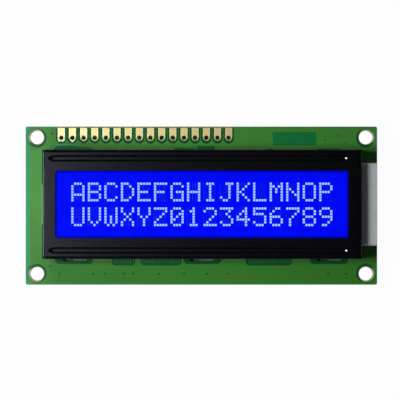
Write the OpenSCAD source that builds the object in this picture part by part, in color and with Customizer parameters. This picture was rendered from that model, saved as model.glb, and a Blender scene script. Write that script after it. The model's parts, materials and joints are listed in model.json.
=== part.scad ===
// Character LCD module, two lines of sixteen characters, with an edge-lit backlight.
//
// The board lies in the XY plane with its back face at Z = 0 and its length along X. The display
// looks along +Z. The origin is the centre of the four mounting holes on the board's back face.
// The glass, backlight and contact strips are clamped to the board by a folded sheet bezel, whose
// twisted lugs reach through the board and are what the module lies on.

/* [Display window] */
// Length of the window
window_l = 66; // [50:1:90]
// Width of the window
window_w = 15.2; // [12:0.1:20]
// Corner radius of the window
window_corner_r = 0.75; // [0.4:0.05:2]

/* [Bezel] */
// Frame left and right of the window, out to the side wall's outer face
frame_side = 3; // [2.4:0.1:5]
// Frame above and below the window, out to the long wall's outer face
frame_long = 4.7; // [4.4:0.05:6]
// Thickness of the steel sheet
sheet_t = 0.5; // [0.4:0.05:0.6]
// Radius on the outside of each fold
bend_r = 0.65; // [0.65:0.05:0.9]
// Gap at the seam where two walls meet in a corner
seam_gap = 0.1; // [0.05:0.05:0.3]
// Centre line of each pressed groove, in from the long wall's outer face
groove_inset = 1.95; // [1.8:0.05:2.1]
// Width of each groove at the face
groove_w = 1.45; // [1.2:0.05:1.6]
// Width of the flat bottom of each groove
groove_floor_w = 0.65; // [0.5:0.05:0.8]
// Depth of each groove
groove_depth = 0.3; // [0.25:0.05:0.35]
// Left end of each groove, in from the side wall's outer face
groove_left_gap = 1.4; // [1.2:0.05:3.2]
// Right end of each groove, in from the side wall's outer face
groove_right_gap = 3.1; // [1.2:0.05:3.2]
// How much longer than wide each groove's run-out is at its ends
groove_runout = 2.5; // [1:0.1:3]
// Length of the cut-out in the left wall
wall_gap_l = 9; // [5:0.5:12]
// How far the bezel sits to the right of the board's centre in its slots
slack_x = 0.1; // [0:0.05:0.3]
// How far the bezel sits above the board's centre in its slots
slack_y = 0.3; // [0:0.05:0.3]

/* [Lugs] */
// Distance from the middle lug to each outer lug
lug_pitch = 29; // [20:1:30]
// Width of each lug
lug_w = 4.2; // [3:0.1:6]
// How far each lug stands out of the board's back
lug_reach = 1.8; // [1.6:0.1:2.4]
// Twist that locks each lug
lug_twist = 24; // [15:1:35]
// Width of each lug at its tip, as a share of its full width
lug_tip = 0.85; // [0.7:0.05:1]
// Clearance from each end of a lug to the end of its slot in the board
slot_end_gap = 0.75; // [0.7:0.05:1.2]
// Clearance on each side of a lug in its slot
slot_side_gap = 0.4; // [0.4:0.05:0.6]

/* [Circuit board] */
// Board left and right of the bezel
margin_side = 4; // [4:0.1:10]
// Board above and below the bezel
margin_long = 5.7; // [5.7:0.1:10]
// Thickness of the board
board_t = 1.6; // [1:0.1:2]
// Corner radius of the board
board_corner_r = 0.4; // [0.2:0.1:1]
// Diameter of the mounting holes
mount_hole_d = 3.4; // [2.5:0.1:3.4]
// Centre of each mounting hole, in from both edges
mount_hole_inset = 2.5; // [2.4:0.1:2.7]

/* [Header] */
// Number of header holes
header_count = 16; // [14:1:16]
// Distance between header holes
header_pitch = 2.54; // [2.5:0.02:2.54]
// First header hole, in from the left edge
header_start = 8.1; // [7:0.1:10]
// Header holes, in from the top edge
header_inset = 2.55; // [2.4:0.05:2.8]
// Plated bore of each header hole
header_bore_d = 1.1; // [0.8:0.05:1.2]
// Width of each header pad
header_pad_w = 1.8; // [1.6:0.05:2]
// How far each pad's round end is drawn out below its hole
header_pad_drop = 0.15; // [0:0.05:0.2]
// Gap between the top edge and the pads
header_pad_gap = 0.3; // [0.2:0.05:0.5]

/* [Display cell] */
// Thickness of each sheet of glass
glass_t = 1.1; // [0.7:0.1:1.4]
// Thickness of the sealed layer between the sheets
cell_gap = 0.05; // [0.05:0.01:0.1]
// Width of the seal round the cell
seal_w = 0.9; // [0.6:0.1:1.2]
// Clearance from the rear glass to the contact strips beside it
rear_glass_gap = 0.4; // [0.2:0.05:0.6]
// Clearance from the glass to the side walls
glass_gap_x = 0.45; // [0.45:0.05:0.6]
// Clearance from the glass to the long walls
glass_gap_y = 0.2; // [0.1:0.05:0.3]
// Thickness of each polarizer
polarizer_t = 0.2; // [0.15:0.05:0.25]
// How far the polarizers reach past the window's edges
polarizer_margin = 0.5; // [0.3:0.05:0.5]

/* [Contact strips] */
// Thickness of each rubber contact strip
strip_w = 1.8; // [1.4:0.1:1.9]
// Number of contacts under each strip
finger_count = 96; // [60:1:110]
// Distance between contacts
finger_pitch = 0.55; // [0.5:0.05:0.6]
// Width of each contact, as copper on the board
finger_w = 0.3; // [0.25:0.05:0.35]

/* [Backlight] */
// Thickness of the clear light guide
guide_t = 3; // [2:0.1:4]
// Thickness of the reflector film
reflector_t = 0.15; // [0.1:0.05:0.3]
// Thickness of the diffuser film
diffuser_t = 0.2; // [0.1:0.05:0.3]
// Air gap between the diffuser and the rear polarizer
film_gap = 0.2; // [0.1:0.05:0.4]
// Floor of the backlight tray
tray_floor = 0.8; // [0.6:0.1:1.2]
// Clearance from the rear polarizer to the long walls of the tray's pocket
pocket_gap = 0.05; // [0.05:0.05:0.3]
// Clearance from the rear polarizer to the end of the tray's pocket
pocket_end_gap = 0.45; // [0.1:0.05:0.5]
// Roof over the lamp bay that sticks out of the bezel
bay_roof = 0.6; // [0.5:0.05:0.6]
// Clearance from the tray to the contact strips
tray_gap = 0.1; // [0.05:0.05:0.2]
// Gap between the tray's outer end and the edge of the board
bay_edge_gap = 0.25; // [0.2:0.05:0.6]
// Chamfer along the bay's upper edges
bay_chamfer = 0.3; // [0.1:0.05:0.4]
// Number of lamps
lamp_count = 3; // [1:1:3]
// Distance between lamps
lamp_pitch = 4.5; // [4:0.1:5]
// Distance between the two backlight leads
lead_pitch = 10.16; // [7.62:2.54:10.16]
// Diameter of the backlight leads
lead_d = 0.6; // [0.4:0.05:0.6]

/* [Rear components] */
// Diameter of the resin drop over the controller chip
controller_drop_d = 14; // [11:0.5:16]
// Diameter of the resin drop over the driver chip
driver_drop_d = 13; // [11:0.5:16]
// Height of the resin drops
drop_h = 1.5; // [1.2:0.1:1.5]
// Length of a chip resistor or capacitor
chip_l = 2; // [1.6:0.1:2.2]
// Width of a chip resistor or capacitor
chip_w = 1.25; // [0.8:0.05:1.3]
// Height of a chip resistor
resistor_h = 0.5; // [0.4:0.05:0.6]
// Height of a chip capacitor
capacitor_h = 0.8; // [0.6:0.05:1]

/* [Hidden] */

$fn = 48;
EPS = 0.05; // overshoot of a cut past the face it opens

// Thickness of the copper and its finish
copper_t = 0.05;
// Clearance from the bezel's inside to the tray's closed end and to its roof
tray_end_gap = 0.2;
// Clearance of the light guide in the tray
guide_gap = 0.1;

// Bezel and board, from the window outwards
bezel_l = window_l + 2 * frame_side;
bezel_w = window_w + 2 * frame_long;
board_l = bezel_l + 2 * margin_side;
board_w = bezel_w + 2 * margin_long;
inside_l = bezel_l - 2 * sheet_t;
inside_w = bezel_w - 2 * sheet_t;

// Heights above the board's front face, from the backlight up
guide_z = tray_floor + reflector_t;
diffuser_z = guide_z + guide_t;
rear_polarizer_z = diffuser_z + diffuser_t + film_gap;
rim_z = rear_polarizer_z + polarizer_t;
cell_z = rim_z + glass_t;
front_glass_z = cell_z + cell_gap;
front_polarizer_z = front_glass_z + glass_t;
plate_z = front_polarizer_z + groove_depth;
bezel_h = plate_z + sheet_t;

// Display cell
glass_l = inside_l - 2 * glass_gap_x;
front_glass_w = inside_w - 2 * glass_gap_y;
polarizer_l = window_l + 2 * polarizer_margin;
polarizer_w = window_w + 2 * polarizer_margin;
fill_port_w = 3;
plug_t = 0.3;

// Grooves, and the contact strips that they press on
groove_l = bezel_l - groove_left_gap - groove_right_gap;
groove_x = (groove_left_gap - groove_right_gap) / 2;
groove_y = bezel_w / 2 - groove_inset;
finger_l = strip_w + tray_gap;
rear_glass_w = 2 * (groove_y - strip_w / 2 - rear_glass_gap);

// Lugs and their slots
wall_mid_y = (bezel_w - sheet_t) / 2;
slot_l = lug_w + 2 * slot_end_gap;
slot_w = sheet_t + 2 * slot_side_gap;
lug_straight = board_t - 0.1;
relief_w = 0.5;
relief_h = 0.6;

// Backlight, in the bezel's own frame
tray_w = 2 * (groove_y - strip_w / 2 - tray_gap);
tray_left = -inside_l / 2 + tray_end_gap;
tray_right = board_l / 2 - bay_edge_gap - slack_x;
tunnel_top = guide_z + guide_t + guide_gap;
bay_h = tunnel_top + bay_roof;
bay_left = inside_l / 2 - tray_end_gap;
pocket_w = polarizer_w + 2 * pocket_gap;
pocket_left = -polarizer_l / 2 - pocket_end_gap;
pocket_right = -pocket_left + tray_end_gap;
guide_w = pocket_w - 2 * guide_gap;
guide_left = pocket_left + guide_gap;
bay_end_wall = 0.95;
lead_x = tray_right - bay_end_wall - lead_d / 2;
lamp_board_t = 0.8;
lamp_board_x = lead_x - lead_d / 2 - lamp_board_t;
lamp_board_h = 2.6;
lamp_board_w = lead_pitch + 1.6;
lamp_t = 0.8;
lamp_w = 3;
lamp_h = 1.4;
guide_right = lamp_board_x - lamp_t - guide_gap;
opening_gap = 0.2;

// Leads through the board
lead_hole_d = lead_d + 0.3;
lead_tail = 1.2;
lead_rise = 1.6;
solder_d = 1.8;
solder_h = 0.9;

// Header
header_x = -board_l / 2 + header_start;
header_y = board_w / 2 - header_inset;
first_pad_corner_r = 0.35;

// Chip parts on the back: [x, y, turn, height]
end_cap_l = 0.35;
end_cap_t = 0.03;
chip_pad_l = 1;
chip_clear = 0.15;
drop_x = 14.5;
drop_y = -0.5;
bias_pitch = 2.6;
limiter_setback = 5.5;
BIAS = [for (i = [-2:2]) [0.25, drop_y + i * bias_pitch, 0, resistor_h]];
OSCILLATOR = [[-drop_x - 11, 3.5, 90, resistor_h]];
LIMITERS = [for (s = [-1, 1]) [lead_x + slack_x - limiter_setback, s * 3, 0, resistor_h]];
BYPASS = [
    [-drop_x - 11, -2, 90, capacitor_h], [-drop_x + 10, 7.8, 0, capacitor_h],
    [drop_x - 9.5, 7.8, 0, capacitor_h], [drop_x + 11.5, 0.5, 90, capacitor_h]
];
CHIPS = concat(BIAS, OSCILLATOR, LIMITERS, BYPASS);
DIE = [3.8, 3.2, 0.4];

// ---- placing ----

// The frame of the bezel and all that it clamps, standing on the board's front face
module on_front() {
    translate([slack_x, slack_y, board_t]) children();
}

// The frame of the parts on the board's back, with Z pointing away from the board
module on_back() {
    mirror([0, 0, 1]) children();
}

module at_mounting_holes() {
    for (x = [-1, 1], y = [-1, 1])
        translate([x * (board_l / 2 - mount_hole_inset), y * (board_w / 2 - mount_hole_inset), 0])
            children();
}

module at_header_holes() {
    for (i = [0:header_count - 1])
        translate([header_x + i * header_pitch, header_y, 0]) {
            $first = i == 0;
            children();
        }
}

// The three lug places along each long side, turned so that +Y points outwards
module at_lugs(y) {
    for (turn = [0, 180])
        rotate(turn)
            for (i = [-1:1])
                translate([i * lug_pitch, y, 0]) children();
}

module at_leads() {
    for (s = [-1, 1]) translate([lead_x, s * lead_pitch / 2, 0]) children();
}

module at_chips(places) {
    on_back()
        for (p = places)
            translate([p[0], p[1], copper_t]) rotate(p[2]) {
                $chip_h = p[3];
                children();
            }
}

// ---- shared shapes ----

module rounded_rect(l, w, r) {
    square([l - 2 * r, w], center = true);
    square([l, w - 2 * r], center = true);
    for (x = [-1, 1], y = [-1, 1]) translate([x * (l / 2 - r), y * (w / 2 - r)]) circle(r);
}

module stadium(l, w) {
    square([l - w, w], center = true);
    for (x = [-1, 1]) translate([x * (l - w) / 2, 0]) circle(w / 2);
}

module plate(l, w, t) {
    translate([-l / 2, -w / 2, 0]) cube([l, w, t]);
}

// A trough with sloping sides and drawn-out ends, open upwards at Z = 0 and cut a little past it
module trough(l, w, floor_w, depth, over = 0) {
    slope = (w - floor_w) / 2 / depth;
    mouth_w = w + 2 * slope * over;
    run = l - groove_runout * w;
    rotate([90, 0, 90])
        linear_extrude(run, center = true)
            polygon([
                [-floor_w / 2, -depth], [floor_w / 2, -depth], [mouth_w / 2, over], [-mouth_w / 2, over]
            ]);
    for (s = [-1, 1])
        translate([s * run / 2, 0, -depth])
            scale([groove_runout, 1, 1]) cylinder(depth + over, floor_w / 2, mouth_w / 2);
}

// ---- circuit board ----

module circuit_board() {
    color("forestgreen")
        difference() {
            linear_extrude(board_t) rounded_rect(board_l, board_w, board_corner_r);
            translate([0, 0, -EPS]) {
                at_mounting_holes() cylinder(board_t + 2 * EPS, d = mount_hole_d);
                at_header_holes() cylinder(board_t + 2 * EPS, d = header_bore_d);
                at_lugs(wall_mid_y) linear_extrude(board_t + 2 * EPS) stadium(slot_l, slot_w);
                translate([slack_x, slack_y, 0]) at_leads() cylinder(board_t + 2 * EPS, d = lead_hole_d);
            }
        }
}

// Outline of a header pad round its hole: square at the board's edge and round below
module header_pad_outline(first) {
    translate([0, -header_pad_drop]) {
        top = header_inset - header_pad_gap + header_pad_drop;
        translate([-header_pad_w / 2, 0]) square([header_pad_w, top]);
        if (first)
            rounded_rect(header_pad_w, header_pad_w, first_pad_corner_r);
        else
            circle(d = header_pad_w);
    }
}

// One pad on each face of the board round every hole
module header_pads() {
    color("gold")
        at_header_holes()
            for (z = [-copper_t, board_t])
                translate([0, 0, z])
                    linear_extrude(copper_t)
                        difference() {
                            header_pad_outline($first);
                            circle(d = header_bore_d);
                        }
}

module contact_fingers() {
    color("gold")
        on_front()
            for (s = [-1, 1], i = [0:finger_count - 1])
                translate([(i - (finger_count - 1) / 2) * finger_pitch, s * groove_y, 0])
                    plate(finger_w, finger_l, copper_t);
}

// ---- bezel ----

// Section of a folded edge, from the wall's foot up into the bend
module fold_section(half) {
    translate([half - sheet_t, 0]) square([sheet_t, bezel_h - bend_r]);
}

module bend_section(half) {
    translate([half - bend_r, bezel_h - bend_r])
        intersection() {
            difference() {
                circle(bend_r);
                circle(bend_r - sheet_t);
            }
            square(bend_r);
        }
}

// One folded side: its wall is wall_l long and its bend stops short of the corners
module folded_side(half, bend_l, wall_l) {
    rotate([90, 0, 90]) {
        linear_extrude(wall_l, center = true) fold_section(half);
        linear_extrude(bend_l, center = true) bend_section(half);
    }
}

// A lug leaves the wall's foot, runs straight through the board, then twists and narrows behind it
module lug() {
    translate([0, 0, -lug_straight]) {
        plate(lug_w, sheet_t, lug_straight);
        rotate([180, 0, 0])
            linear_extrude(
                board_t + lug_reach - lug_straight, twist = lug_twist, scale = [lug_tip, 1],
                slices = 8, $fn = 4
            )
                square([lug_w, sheet_t], center = true);
    }
}

module front_plate() {
    rib_spread = sheet_t * tan(atan(2 * groove_depth / (groove_w - groove_floor_w)) / 2);
    difference() {
        union() {
            translate([0, 0, plate_z]) plate(bezel_l - 2 * bend_r, bezel_w - 2 * bend_r, sheet_t);
            for (s = [-1, 1])
                translate([groove_x, s * groove_y, plate_z])
                    trough(
                        groove_l + 2 * rib_spread, groove_w + 2 * rib_spread,
                        groove_floor_w + 2 * rib_spread, groove_depth
                    );
        }
        translate([0, 0, plate_z - EPS])
            linear_extrude(sheet_t + 2 * EPS) rounded_rect(window_l, window_w, window_corner_r);
        for (s = [-1, 1])
            translate([groove_x, s * groove_y, bezel_h])
                trough(groove_l, groove_w, groove_floor_w, groove_depth, EPS);
    }
}

module bezel() {
    color("#17181c")
        on_front()
            difference() {
                union() {
                    front_plate();
                    for (turn = [0, 180]) rotate(turn) {
                        folded_side(bezel_w / 2, bezel_l - 2 * bend_r, bezel_l);
                        rotate(90)
                            folded_side(
                                bezel_l / 2, bezel_w - 2 * bend_r, inside_w - 2 * seam_gap
                            );
                    }
                    at_lugs(wall_mid_y) lug();
                }
                // Cut-out in the left wall
                translate([-bezel_l / 2 - EPS, -wall_gap_l / 2, -EPS])
                    cube([bend_r + EPS, wall_gap_l, bezel_h + 2 * EPS]);
                // Opening in the right wall for the lamp bay
                translate([bezel_l / 2 - sheet_t - EPS, -tray_w / 2 - opening_gap, -EPS])
                    cube([sheet_t + 2 * EPS, tray_w + 2 * opening_gap, bay_h + opening_gap + EPS]);
                // Reliefs in the wall's foot on both sides of each lug
                at_lugs(wall_mid_y)
                    for (s = [-1, 1])
                        translate([s * (lug_w + relief_w) / 2, 0, -EPS])
                            plate(relief_w, 2 * sheet_t, relief_h + EPS);
            }
}

// ---- display cell ----

module front_polarizer() {
    color("mediumblue")
        on_front()
            translate([0, 0, front_polarizer_z]) plate(polarizer_l, polarizer_w, polarizer_t);
}

module front_glass() {
    color("lightblue", 0.5)
        on_front() translate([0, 0, front_glass_z]) plate(glass_l, front_glass_w, glass_t);
}

module cell_seal() {
    color("ivory")
        on_front()
            translate([0, 0, cell_z])
                difference() {
                    plate(glass_l, rear_glass_w, cell_gap);
                    translate([0, 0, -EPS])
                        plate(glass_l - 2 * seal_w, rear_glass_w - 2 * seal_w, cell_gap + 2 * EPS);
                    translate([-glass_l / 2 - EPS, -fill_port_w / 2, -EPS])
                        cube([seal_w + 2 * EPS, fill_port_w, cell_gap + 2 * EPS]);
                }
}

// Bead of resin that closes the port through which the cell was filled
module fill_port_plug() {
    plug_h = glass_t;
    color("wheat")
        on_front()
            translate([-glass_l / 2, 0, cell_z + cell_gap / 2])
                rotate([90, 0, 0])
                    linear_extrude(fill_port_w + 1, center = true)
                        intersection() {
                            scale([plug_t * 2 / plug_h, 1]) circle(d = plug_h);
                            translate([-plug_h, -plug_h / 2]) square(plug_h);
                        }
}

module rear_glass() {
    color("lightblue", 0.5)
        on_front() translate([0, 0, rim_z]) plate(glass_l, rear_glass_w, glass_t);
}

module rear_polarizer() {
    color("slategray")
        on_front() translate([0, 0, rear_polarizer_z]) plate(polarizer_l, polarizer_w, polarizer_t);
}

// ---- contact strips ----

module contact_strip(side) {
    color("dimgray")
        on_front()
            translate([groove_x, side * groove_y, copper_t])
                plate(groove_l, strip_w, front_glass_z - copper_t);
}

module upper_contact_strip() {
    contact_strip(1);
}

module lower_contact_strip() {
    contact_strip(-1);
}

// ---- backlight ----

// Section of the lamp bay, with chamfered upper edges
module bay_section() {
    polygon([
        [-tray_w / 2, 0], [tray_w / 2, 0],
        [tray_w / 2, bay_h - bay_chamfer], [tray_w / 2 - bay_chamfer, bay_h],
        [-tray_w / 2 + bay_chamfer, bay_h], [-tray_w / 2, bay_h - bay_chamfer]
    ]);
}

module backlight_tray() {
    color("white")
        on_front()
            difference() {
                union() {
                    translate([tray_left, -tray_w / 2, 0]) cube([bay_left - tray_left, tray_w, rim_z]);
                    translate([bay_left, 0, 0])
                        rotate([90, 0, 90]) linear_extrude(tray_right - bay_left) bay_section();
                }
                // Pocket under the glass
                translate([pocket_left, -pocket_w / 2, tray_floor])
                    cube([pocket_right - pocket_left, pocket_w, rim_z]);
                // Tunnel that leads the guide to the lamps, closed by the bay's roof
                translate([pocket_right - EPS, -pocket_w / 2, tray_floor])
                    cube([tray_right - bay_end_wall - pocket_right + EPS, pocket_w, tunnel_top - tray_floor]);
                translate([0, 0, -EPS]) at_leads() cylinder(tray_floor + 2 * EPS, d = lead_d + 0.1);
            }
}

module light_guide() {
    color("azure", 0.6)
        on_front()
            translate([guide_left, -guide_w / 2, guide_z])
                cube([guide_right - guide_left, guide_w, guide_t]);
}

module diffuser_film() {
    color("whitesmoke")
        on_front() translate([0, 0, diffuser_z]) plate(polarizer_l, guide_w, diffuser_t);
}

module reflector_film() {
    color("white")
        on_front()
            translate([guide_left, -guide_w / 2, tray_floor])
                cube([guide_right - guide_left, guide_w, reflector_t]);
}

module lamp_board() {
    color("seagreen")
        on_front()
            translate([lamp_board_x, -lamp_board_w / 2, tray_floor])
                cube([lamp_board_t, lamp_board_w, lamp_board_h]);
}

module lamps() {
    color("lightyellow")
        on_front()
            for (i = [0:lamp_count - 1])
                translate([
                    lamp_board_x - lamp_t, (i - (lamp_count - 1) / 2) * lamp_pitch - lamp_w / 2,
                    tray_floor + (lamp_board_h - lamp_h) / 2
                ])
                    cube([lamp_t, lamp_w, lamp_h]);
}

module backlight_leads() {
    color("silver")
        on_front()
            at_leads()
                translate([0, 0, -board_t - lead_tail])
                    cylinder(lead_tail + board_t + tray_floor + lead_rise, d = lead_d);
}

// Solder round each lead behind the board, hollowed between its wide foot and the lead
module lead_solder() {
    r = (solder_d - lead_d) / 2;
    color("lightgray")
        translate([slack_x, slack_y, 0])
            at_leads()
                on_back()
                    rotate_extrude()
                        translate([lead_d / 2, 0])
                            difference() {
                                square([r, solder_h]);
                                translate([r, solder_h]) scale([r / solder_h, 1]) circle(solder_h);
                            }
}

// ---- parts on the back ----

// A low dome of resin over a chip, with a pocket that the chip fills
module resin_drop(x, d) {
    dome_r = (d * d / 4 + drop_h * drop_h) / (2 * drop_h);
    color("#1b1b1d")
        translate([x, drop_y, 0])
            on_back()
                difference() {
                    intersection() {
                        translate([0, 0, drop_h - dome_r]) sphere(dome_r, $fn = 200);
                        cylinder(drop_h + EPS, d = d + 1);
                    }
                    translate([0, 0, -EPS]) plate(DIE[0], DIE[1], DIE[2] + EPS);
                }
}

module die(x) {
    color("slategray")
        translate([x, drop_y, 0]) on_back() plate(DIE[0], DIE[1], DIE[2]);
}

module controller_drop() {
    resin_drop(-drop_x, controller_drop_d);
}

module driver_drop() {
    resin_drop(drop_x, driver_drop_d);
}

module controller_die() {
    die(-drop_x);
}

module driver_die() {
    die(drop_x);
}

module chip_body(h) {
    translate([0, 0, end_cap_t]) plate(chip_l - 2 * end_cap_t, chip_w - 2 * end_cap_t, h - 2 * end_cap_t);
}

module bias_resistors() {
    color("#202024") at_chips(BIAS) chip_body($chip_h);
}

module oscillator_resistor() {
    color("#202024") at_chips(OSCILLATOR) chip_body($chip_h);
}

module backlight_resistors() {
    color("#202024") at_chips(LIMITERS) chip_body($chip_h);
}

module capacitors() {
    color("#b08d62") at_chips(BYPASS) chip_body($chip_h);
}

// The metal ends wrap round the body on five sides
module chip_end_caps() {
    color("silver")
        at_chips(CHIPS)
            for (s = [-1, 1])
                difference() {
                    translate([s * (chip_l - end_cap_l) / 2, 0, 0]) plate(end_cap_l, chip_w, $chip_h);
                    chip_body($chip_h);
                }
}

module chip_pads() {
    color("lightgray")
        at_chips(CHIPS)
            for (s = [-1, 1])
                translate([s * (chip_l / 2 + chip_pad_l / 2 - end_cap_l), 0, -copper_t])
                    plate(chip_pad_l, chip_w + chip_clear, copper_t);
}

// A hollow fillet of solder from each pad up to the end of its chip
module chip_solder() {
    run = chip_pad_l - end_cap_l - chip_clear / 2;
    color("gainsboro")
        at_chips(CHIPS)
            for (turn = [0, 180])
                rotate(turn)
                    translate([chip_l / 2, 0, 0])
                        rotate([90, 0, 0])
                            linear_extrude(chip_w, center = true)
                                difference() {
                                    square([run, $chip_h * 0.8]);
                                    translate([run, $chip_h * 0.8])
                                        scale([run / ($chip_h * 0.8), 1]) circle($chip_h * 0.8, $fn = 12);
                                }
}

circuit_board();
header_pads();
contact_fingers();
bezel();
front_polarizer();
front_glass();
cell_seal();
fill_port_plug();
rear_glass();
rear_polarizer();
upper_contact_strip();
lower_contact_strip();
backlight_tray();
light_guide();
diffuser_film();
reflector_film();
lamp_board();
lamps();
backlight_leads();
lead_solder();
controller_drop();
driver_drop();
controller_die();
driver_die();
bias_resistors();
oscillator_resistor();
backlight_resistors();
capacitors();
chip_end_caps();
chip_solder();
chip_pads();
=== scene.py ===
"""Looks of the character LCD module: finishes, masked copper, lit dots, light and camera."""

import json
import math

import bmesh
import bpy
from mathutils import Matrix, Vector, noise
from mathutils.geometry import delaunay_2d_cdt

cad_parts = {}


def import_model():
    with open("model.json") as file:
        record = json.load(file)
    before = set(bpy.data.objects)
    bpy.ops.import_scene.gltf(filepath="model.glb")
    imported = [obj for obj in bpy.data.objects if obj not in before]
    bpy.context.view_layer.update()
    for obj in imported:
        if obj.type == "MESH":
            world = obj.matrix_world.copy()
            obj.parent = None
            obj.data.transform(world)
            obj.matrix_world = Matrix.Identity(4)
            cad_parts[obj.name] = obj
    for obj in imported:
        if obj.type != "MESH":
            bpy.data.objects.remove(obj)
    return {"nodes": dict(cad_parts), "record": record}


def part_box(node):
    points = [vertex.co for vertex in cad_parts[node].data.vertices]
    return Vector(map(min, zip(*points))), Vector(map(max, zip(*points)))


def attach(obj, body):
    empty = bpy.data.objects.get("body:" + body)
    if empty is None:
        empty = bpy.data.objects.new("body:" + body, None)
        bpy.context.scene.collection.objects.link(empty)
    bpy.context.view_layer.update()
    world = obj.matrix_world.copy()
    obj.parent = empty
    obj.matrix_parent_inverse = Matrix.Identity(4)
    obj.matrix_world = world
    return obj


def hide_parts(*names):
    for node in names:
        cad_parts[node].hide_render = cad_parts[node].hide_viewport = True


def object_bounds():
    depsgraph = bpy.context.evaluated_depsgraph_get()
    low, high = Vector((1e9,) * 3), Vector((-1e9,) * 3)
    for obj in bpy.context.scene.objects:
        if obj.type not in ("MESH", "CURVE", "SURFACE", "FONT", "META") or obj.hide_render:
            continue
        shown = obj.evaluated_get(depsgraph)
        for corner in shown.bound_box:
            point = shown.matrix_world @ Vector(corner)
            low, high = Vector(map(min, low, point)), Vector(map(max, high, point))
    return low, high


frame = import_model()
cad_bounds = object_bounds()

# The frame is in metres. Below, lengths and places are in millimetres, and texture scales are
# per millimetre; MM turns lengths into metres.
MM = 0.001
SAME_POINT = 1e-6  # metres


# ---- places taken from the frame ----

def corners_of(points):
    """Lowest and highest corner of the box round some points."""
    return [Vector([pick(p[i] for p in points) for i in range(3)]) for pick in (min, max)]


def box_mm(node_name, above=None):
    """Lowest and highest corner of a CAD node, or of its part above a height."""
    if above is None:
        low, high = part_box(node_name)
        return low / MM, high / MM
    vertices = frame["nodes"][node_name].data.vertices
    return corners_of([v.co / MM for v in vertices if v.co.z > above * MM])


def islands(node_name):
    """Lowest and highest corner of each separate solid in a CAD node, from left to right."""
    mesh = bmesh.new()
    mesh.from_mesh(frame["nodes"][node_name].data)
    bmesh.ops.remove_doubles(mesh, verts=mesh.verts, dist=SAME_POINT)
    found, seen = [], set()
    for start in mesh.verts:
        if start in seen:
            continue
        group, waiting = [], [start]
        seen.add(start)
        while waiting:
            vert = waiting.pop()
            group.append(vert.co / MM)
            for link in vert.link_edges:
                other = link.other_vert(vert)
                if other not in seen:
                    seen.add(other)
                    waiting.append(other)
        found.append(corners_of(group))
    mesh.free()
    return sorted(found, key=lambda pair: (round(pair[0].x, 3), pair[0].y))


MOUNTS = {mount["name"]: mount for mount in frame["record"]["mounts"]}
BOARD_LOW, BOARD_HIGH = box_mm("circuit_board")
FRONT_Z, BACK_Z = BOARD_HIGH.z, BOARD_LOW.z
BEZEL_LOW, BEZEL_HIGH = box_mm("bezel", above=FRONT_Z + 1)  # its walls and face, without the lugs
CENTRE = (BEZEL_LOW + BEZEL_HIGH) / 2
BEZEL_HALF = (BEZEL_HIGH.x - CENTRE.x, BEZEL_HIGH.y - CENTRE.y)
WINDOW_HALF = (33.0, 7.6)  # half of the bezel's window
SHEET_T = 0.5
COPPER_T = 0.035

MOUNT_HOLES = MOUNTS["mounting_holes"]["dims"]
MOUNT_HOLE = (MOUNT_HOLES["spacing_x_mm"] / 2, MOUNT_HOLES["spacing_y_mm"] / 2)
MOUNT_HOLE_R = MOUNT_HOLES["hole_r_mm"]

PADS_LOW, PADS_HIGH = box_mm("header_pads")
PAD_W = 1.8
PAD_GAP = 0.3  # bare board round each pad
HEADER = [  # X of each header hole
    ((low + high) / 2).x for low, high in islands("header_pads") if low.z > (FRONT_Z + BACK_Z) / 2
]
HEADER_PITCH = (HEADER[-1] - HEADER[0]) / (len(HEADER) - 1)
HOLE_Y = MOUNTS["header_hole_1"]["pos_m"][1] / MM
HOLE_R = MOUNTS["header_hole_1"]["dims"]["r_mm"]


# ---- shader nodes ----

MIX_A, MIX_B, MIX_RESULT = 6, 7, 2  # the colour sockets of a Mix node
NOISE_SPAN = (0.3, 0.7)  # where most of a noise texture's values lie
UPPER_HALF, LEFT_HALF = (0.0, 1.0), (0.0, -1.0)


def node(tree, kind, inputs=None, **props):
    """Adds a shader node; an input's value is a number, a colour or another node's socket."""
    made = tree.nodes.new("ShaderNode" + kind)
    for key, value in props.items():
        setattr(made, key, value)
    for key, value in (inputs or {}).items():
        socket = made.inputs[key]
        if isinstance(value, bpy.types.NodeSocket):
            tree.links.new(value, socket)
        else:
            socket.default_value = value
    return made


def math_node(tree, operation, *values):
    return node(tree, "Math", dict(enumerate(values)), operation=operation).outputs[0]


def times(tree, share, *others):
    """Product of several shares."""
    for other in others:
        share = math_node(tree, "MULTIPLY", share, other)
    return share


def away(tree, place, middle=0.0):
    """How far a coordinate is from a middle, to either side."""
    return math_node(tree, "ABSOLUTE", math_node(tree, "SUBTRACT", place, middle))


def length_of(tree, offsets):
    """Length of a flat vector."""
    squares = [math_node(tree, "POWER", offset, 2.0) for offset in offsets]
    return math_node(tree, "SQRT", math_node(tree, "ADD", *squares))


def ramp(tree, value, band, to=(0.0, 1.0), kind="LINEAR"):
    """Runs between the two levels of `to` while the value crosses the band."""
    inputs = {
        "Value": value, "From Min": band[0], "From Max": band[1], "To Min": to[0], "To Max": to[1],
    }
    return node(tree, "MapRange", inputs, interpolation_type=kind).outputs[0]


def ease(tree, value, band, to=(0.0, 1.0)):
    """A ramp with soft ends."""
    return ramp(tree, value, band, to, "SMOOTHSTEP")


def axes(tree, vector):
    """The X, Y and Z of a vector."""
    return node(tree, "SeparateXYZ", {0: vector}).outputs


def facing(tree):
    """X, Y and Z of the surface's own direction."""
    return axes(tree, node(tree, "NewGeometry").outputs["Normal"])


def mm_coords(tree):
    """The row frame's coordinates in millimetres."""
    place = node(tree, "TexCoord").outputs["Object"]
    return node(tree, "VectorMath", {0: place, "Scale": 1 / MM}, operation="SCALE").outputs[0]


def noise_of(tree, coords, scale, detail=3.0, roughness=0.55):
    inputs = {"Vector": coords, "Scale": scale, "Detail": detail, "Roughness": roughness}
    return node(tree, "TexNoise", inputs).outputs["Fac"]


def rgba(colour):
    return (*colour, 1.0)


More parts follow.
